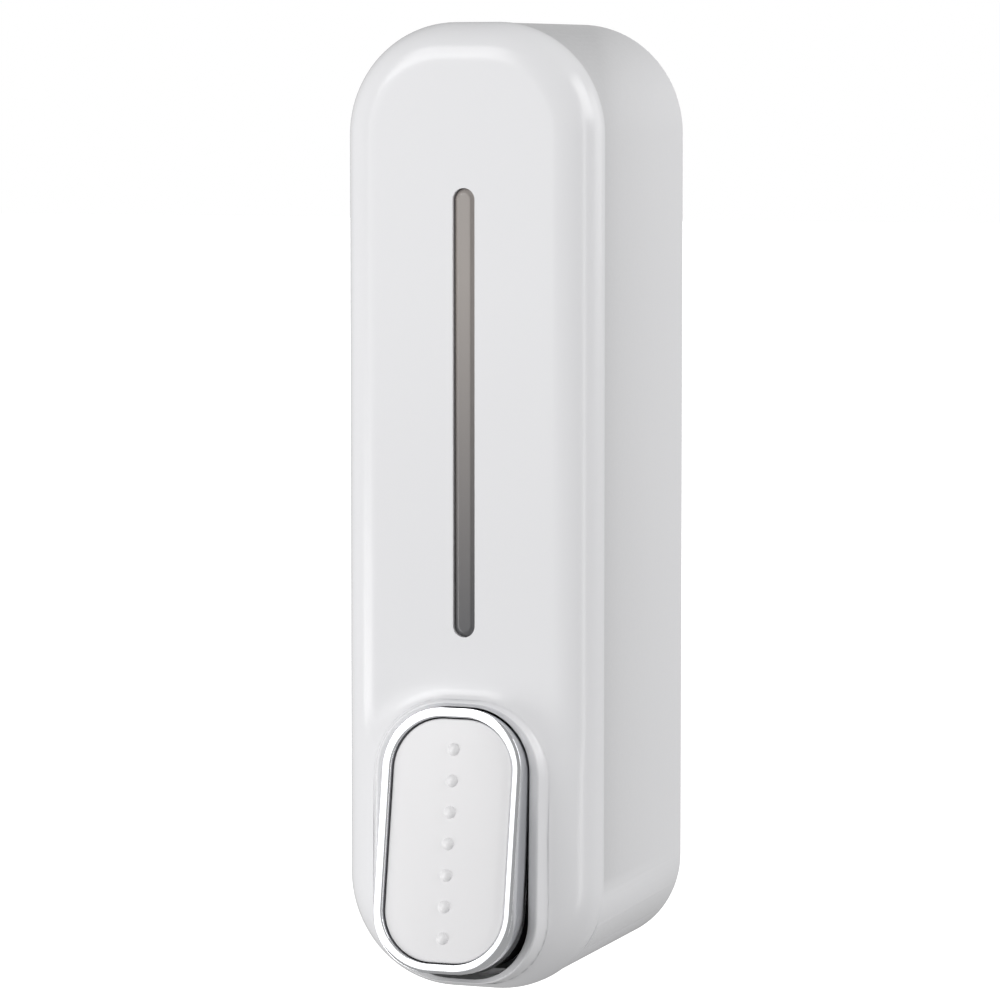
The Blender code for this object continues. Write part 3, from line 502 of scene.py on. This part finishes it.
def inward_ring(inset, share, y):
    """The outline drawn in towards the upright middle line, where share is 0."""
    low = FLOOR + CORNER
    high = FLOOR + HEIGHT - CORNER
    ring = []
    for x, z in cover_outline(inset):
        middle_z = min(max(z, low), high)
        ring.append((x * share, y, middle_z + (z - middle_z) * share))
    return ring


def cover_rings():
    """All rings of the cover, from the middle line of its front round the rim to its inner face."""
    spans = 36
    rings = [inward_ring(FRONT_EDGE, span / spans, -DEPTH) for span in range(spans)]
    steps = 16
    for step in range(steps + 1):
        angle = math.radians(90 * step / steps)
        inset = FRONT_EDGE * (1 - math.sin(angle))
        rings.append(cover_ring(inset, -DEPTH + FRONT_EDGE * (1 - math.cos(angle))))
    side_y = -DEPTH + FRONT_EDGE + 0.35
    rings.append(cover_ring(SEAM, side_y, REAR_STEP, REAR_LOW_CORNER))
    chamfer = 0.3
    rim = [(0.02, REAR_Y - chamfer), (chamfer, REAR_Y), (WALL - chamfer, REAR_Y), (WALL, REAR_Y - chamfer)]
    for inset, y in rim:
        rings.append(cover_ring(inset, y, REAR_STEP + REAR_RISE, REAR_LOW_CORNER))
    rings.append(cover_ring(WALL, side_y, REAR_STEP, REAR_LOW_CORNER))
    inner_edge = FRONT_EDGE - WALL
    inner_steps = 6
    for step in range(inner_steps, -1, -1):
        angle = math.radians(90 * step / inner_steps)
        inset = WALL + inner_edge * (1 - math.sin(angle))
        y = INNER_FACE_Y + inner_edge * (1 - math.cos(angle))
        rings.append(cover_ring(inset, y, REAR_STEP, CORNER - REAR_STEP))
    rings.append(inward_ring(FRONT_EDGE, 0.0, INNER_FACE_Y))
    return rings


def raise_collar(obj):
    """Pushes the front of the cover out round the opening. Its sides and inner face stay."""
    front_end = -DEPTH + FRONT_EDGE - 0.5
    for vertex in obj.data.vertices:
        x, y, z = (value / MM for value in vertex.co)
        outer_face = y < INNER_FACE_Y + front_surface_drop(x, z) - 1
        if outer_face and y < front_end and z < COLLAR_END:
            vertex.co.y -= collar_share(outset_at(x, z)) * collar_height(z) * MM


def cover_shell():
    """The cover without the inner part of its collar, with the slot and the drip hole."""
    white = LOOKS["gloss_white_abs"]
    shell = loft("cover_shell", cover_rings(), white, caps=False)
    raise_collar(shell)
    opening = rounded_outline(*opening_sizes(LIP))
    cut(shell, prism(opening, -DEPTH - 8, INNER_FACE_Y + 3))
    slot = stadium(SLOT_HALF, SLOT_LOW, SLOT_HIGH)
    cut(shell, prism(slot, -DEPTH - 2, INNER_FACE_Y + 2))
    hole = circle(DRIP_HOLE_RADIUS, 48)
    drip = [[(a, PORT_Y + b, z) for a, b in hole] for z in (FLOOR - 3, FLOOR + 8)]
    cut(shell, loft("cutter", drip, white))
    shade(shell)
    return shell


def cover_lip():
    """The inner part of the collar: its crest, the bevel inside it and the wall of the opening."""
    steps = 12
    outer = [LIP - 0.15 * step for step in range(steps)]
    profile = [(outset, collar_share(outset)) for outset in outer]
    profile += [
        (2.4, 1.0),
        (2.25, 0.998),
        (2.1, 0.99),
        (1.95, 0.975),
        (0.35, 0.8),
        (0.18, 0.785),
        (0.05, 0.755),
        (0.0, 0.71),
        (0.0, -0.5),
        (LIP, -0.5),
    ]
    lip = loft("cover_lip", [opening_ring(*step) for step in profile], LOOKS["gloss_white_abs"], closed=True)
    shade(lip)
    return lip


def cover_bosses():
    """Hinge and window bosses inside the cover."""
    white = LOOKS["gloss_white_abs"]
    parts = []
    half_height = 3.2
    bore_radius = 1.45
    for side in (-1, 1):
        inner, outer = sorted((side * 14.2, side * 19.2))
        low = (inner, BOSS_ROOT_Y, HINGE_Z - half_height)
        high = (outer, HINGE_Y + 2.8, HINGE_Z + half_height)
        boss = box("boss", low, high, white)
        cut(boss, sideways_rod("cutter", bore_radius, side * 13.0, side * 20.0, HINGE_Y, HINGE_Z, white))
        parts.append(boss)
    radius = 3.0
    bore_radius = 1.3
    chamfer = 0.2
    end_y = -58.8
    profile = [
        (radius, BOSS_ROOT_Y),
        (radius, end_y - chamfer),
        (radius - chamfer, end_y),
        (bore_radius, end_y),
        (bore_radius, BOSS_ROOT_Y),
    ]
    for z in (SLOT_LOW - 8.4, SLOT_HIGH + 8.4):
        parts.append(forward_tube("boss", profile, 0.0, z, white))
    made = merge("cover_bosses", parts)
    shade(made)
    return made


def window_strip():
    """The smoky bar in the slot: a flange inside, a shoulder, and a raised middle."""
    rear_y = -58.8
    flange_y = -60.3
    shoulder_y = -61.8
    top_y = -62.5
    shoulder = SLOT_HALF - 0.12
    top = 1.3
    flange = [(5.4, 2.8, y) for y in (rear_y, flange_y)]
    bar = [
        (shoulder, flange_y),
        (shoulder, shoulder_y + 0.2),
        (shoulder - 0.06, shoulder_y + 0.08),
        (shoulder - 0.18, shoulder_y),
        (top + 0.32, top_y + 0.16),
        (top + 0.16, top_y + 0.04),
        (top, top_y),
        (top - 0.1, top_y),
    ]
    rings = [
        [(x, y, z) for x, z in stadium(half, SLOT_LOW - beyond, SLOT_HIGH + beyond)]
        for half, beyond, y in flange + [(half, half - SLOT_HALF, y) for half, y in bar]
    ]
    strip = loft("window_strip", rings, LOOKS["smoky_polycarbonate"])
    shade(strip, 30)
    return strip


# ---------------------------------------------------------------- button

def face_point(x, along, depth):
    """A point on the button: along runs down the leaning face, depth goes into it."""
    return (
        x,
        FACE_TOP_Y - along * math.sin(TILT) + depth * math.cos(TILT),
        FACE_TOP_Z - along * math.cos(TILT) - depth * math.sin(TILT),
    )


def face_ring(outset, depth):
    """The outline of the button's face, grown by outset, at a depth into it."""
    corner = FACE_CORNER + outset
    outline = rounded_outline(FACE_HALF + outset, -FACE_LENGTH - outset, outset, corner, corner)
    return [face_point(x, -z, depth) for x, z in outline]


def rounded_edge(outset, depth, radius, turns, side=1):
    """Rings round a small edge. An angle of 0 faces out of the face, and 90 faces sideways.

    side is 1 where the edge lies outside the piece and -1 where it goes round a hole.
    """
    rings = []
    for angle in turns:
        turn = math.radians(angle)
        inward = side * radius * (1 - math.sin(turn))
        rings.append(face_ring(outset - inward, depth + radius * (1 - math.cos(turn))))
    return rings


def button_rim():
    """A band round the pad, with a thinner wall that goes down into the opening."""
    front_edge = 0.14
    edge = 0.25
    rings = rounded_edge(0.0, 0.0, front_edge, (0, 30, 60, 90))
    rings += [
        face_ring(0.0, RIM_DEPTH - edge),
        face_ring(-0.07, RIM_DEPTH - 0.07),
        face_ring(-edge, RIM_DEPTH),
        face_ring(-1.25, RIM_DEPTH),
        face_ring(-1.55, BAND_DEPTH),
        face_ring(-BAND_WIDTH, BAND_DEPTH),
        face_ring(-BAND_WIDTH, edge),
    ]
    rings += rounded_edge(-BAND_WIDTH, 0.0, edge, (70, 45, 20, 0), side=-1)
    rim = loft("button_rim", rings, LOOKS["chrome_plating"], closed=True)
    shade(rim, 35)
    return rim


def bump(along):
    """One small dome on the pad, with its foot inside the pad."""
    centre_depth = PAD_DEPTH + BUMP_SINK
    rings = []
    for angle in (10, 28, 34, 42, 50, 58, 66, 74, 82, 88):
        radius = BUMP_RADIUS * math.cos(math.radians(angle))
        depth = centre_depth - BUMP_RADIUS * math.sin(math.radians(angle))
        rings.append([face_point(x, along + b, depth) for x, b in circle(radius, 32)])
    return loft("bump", rings, LOOKS["satin_white_abs"])


def button_face():
    """The pad and its row of bumps."""
    edge = rounded_edge(-PAD_INSET, PAD_DEPTH, 0.35, (90, 66, 44, 22, 0))
    plate = loft("plate", [face_ring(-PAD_INSET, BAND_DEPTH), *edge], LOOKS["satin_white_abs"])
    bumps = [bump(FIRST_BUMP + number * BUMP_PITCH) for number in range(BUMPS)]
    face = merge("button_face", [plate, *bumps])
    shade(face)
    return face


# ---------------------------------------------------------------- camera, light, stage

def camera():
    """A long lens, a little to the right of the dispenser and a little above its middle."""
    azimuth = math.radians(20.37)
    elevation = math.radians(4.72)
    distance = 1.1337
    target = Vector((0.0, -0.020, FLOOR * MM + HEIGHT * MM / 2))
    back = Vector((
        math.sin(azimuth) * math.cos(elevation),
        -math.cos(azimuth) * math.cos(elevation),
        math.sin(elevation),
    ))
    right = (-back).cross(Vector((0.0, 0.0, 1.0))).normalized()
    up = right.cross(-back)
    focal = 4.957           # in image widths
    aside = 0.0312          # how far the target lies right of the middle, in image widths
    above = 0.0041
    ahead = (-back - right * (aside / focal) - up * (above / focal)).normalized()
    data = bpy.data.cameras.new("camera")
    data.sensor_width = 36.0
    data.lens = 36.0 * focal
    data.clip_start = 0.05
    data.clip_end = 50.0
    made = bpy.data.objects.new("camera", data)
    bpy.context.scene.collection.objects.link(made)
    made.location = target + back * distance
    made.rotation_mode = "QUATERNION"
    made.rotation_quaternion = ahead.to_track_quat("-Z", "Y")
    bpy.context.scene.camera = made


def softbox(name, azimuth, elevation, size, power):
    """An area light that faces the dispenser from a direction given in degrees."""
    a, e = math.radians(azimuth), math.radians(elevation)
    out = Vector((math.sin(a) * math.cos(e), -math.cos(a) * math.cos(e), math.sin(e)))
    data = bpy.data.lights.new(name, "AREA")
    data.shape = "RECTANGLE"
    data.size, data.size_y = size
    data.energy = power
    made = bpy.data.objects.new(name, data)
    bpy.context.scene.collection.objects.link(made)
    made.location = LIT_POINT + out * LIGHT_DISTANCE
    made.rotation_mode = "QUATERNION"
    made.rotation_quaternion = (-out).to_track_quat("-Z", "Y")
    made.visible_camera = False


def studio_world(strength):
    """White to the eye, and an even soft light on the object."""
    world = bpy.data.worlds.new("studio")
    bpy.context.scene.world = world
    world.use_nodes = True
    tree = world.node_tree
    tree.nodes.clear()
    out = tree.nodes.new("ShaderNodeOutputWorld")
    seen = tree.nodes.new("ShaderNodeBackground")
    seen.inputs["Color"].default_value = (1.0, 1.0, 1.0, 1.0)
    seen.inputs["Strength"].default_value = 1.0
    soft = tree.nodes.new("ShaderNodeBackground")
    soft.inputs["Color"].default_value = (1.0, 1.0, 1.0, 1.0)
    soft.inputs["Strength"].default_value = strength
    path = tree.nodes.new("ShaderNodeLightPath")
    mix = tree.nodes.new("ShaderNodeMixShader")
    tree.links.new(path.outputs["Is Camera Ray"], mix.inputs["Fac"])
    tree.links.new(soft.outputs["Background"], mix.inputs[1])
    tree.links.new(seen.outputs["Background"], mix.inputs[2])
    tree.links.new(mix.outputs["Shader"], out.inputs["Surface"])


def stage():
    """A wide pale floor, far below. It is seen, and lights nothing."""
    look, tree, shader, place = start_material("pale floor")
    clouds = ramp(tree, noise(tree, place, 3.0), (0.9, 0.9, 0.9), (0.94, 0.94, 0.94))
    tree.links.new(clouds, shader.inputs["Base Color"])
    shader.inputs["Roughness"].default_value = 0.9
    shader.inputs["Emission Color"].default_value = (1.0, 1.0, 1.0, 1.0)
    shader.inputs["Emission Strength"].default_value = 1.0
    half = 20000.0
    level = -500.0
    floor = new_object(
        "floor",
        [(-half, -half, level), (half, -half, level), (half, half, level), (-half, half, level)],
        [(0, 1, 2, 3)],
        look,
    )
    floor.visible_diffuse = False
    floor.visible_glossy = False
    floor.visible_transmission = False
    floor.visible_shadow = False


LIT_POINT = Vector((0.0, -0.03, 0.0))
LIGHT_DISTANCE = 1.4
SQUARE = (0.75, 0.75)
UPRIGHT = (0.22, 1.2)

# Azimuth and elevation in degrees, size in metres, and power in watts
LIGHTS = {
    "left_low": (-48.0, -20.0, SQUARE, 7.0),
    "front": (-30.0, 12.0, SQUARE, 2.1),
    "left_high": (-30.0, 30.0, SQUARE, 5.5),
    "right": (70.0, -2.0, UPRIGHT, 2.2),
    "right_back": (120.0, 15.0, SQUARE, 2.6),
    "right_high": (90.0, 30.0, SQUARE, 6.6),
}
WORLD_STRENGTH = 0.379


def main():
    bpy.context.scene.view_settings.view_transform = "Standard"
    camera()
    studio_world(WORLD_STRENGTH)
    for name, (azimuth, elevation, size, power) in LIGHTS.items():
        softbox(name, azimuth, elevation, size, power)
    stage()

    dress_cad_nodes()
    shell = cover_shell()
    for piece in (shell, cover_lip(), cover_bosses()):
        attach(piece, "cover")
    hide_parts("front_cover")
    strip = window_strip()
    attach(strip, "cover")
    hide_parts("window_lens")
    rim = button_rim()
    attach(rim, "button")
    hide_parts("button_bezel")
    face = button_face()
    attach(face, "button")
    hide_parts("button_pad")


main()
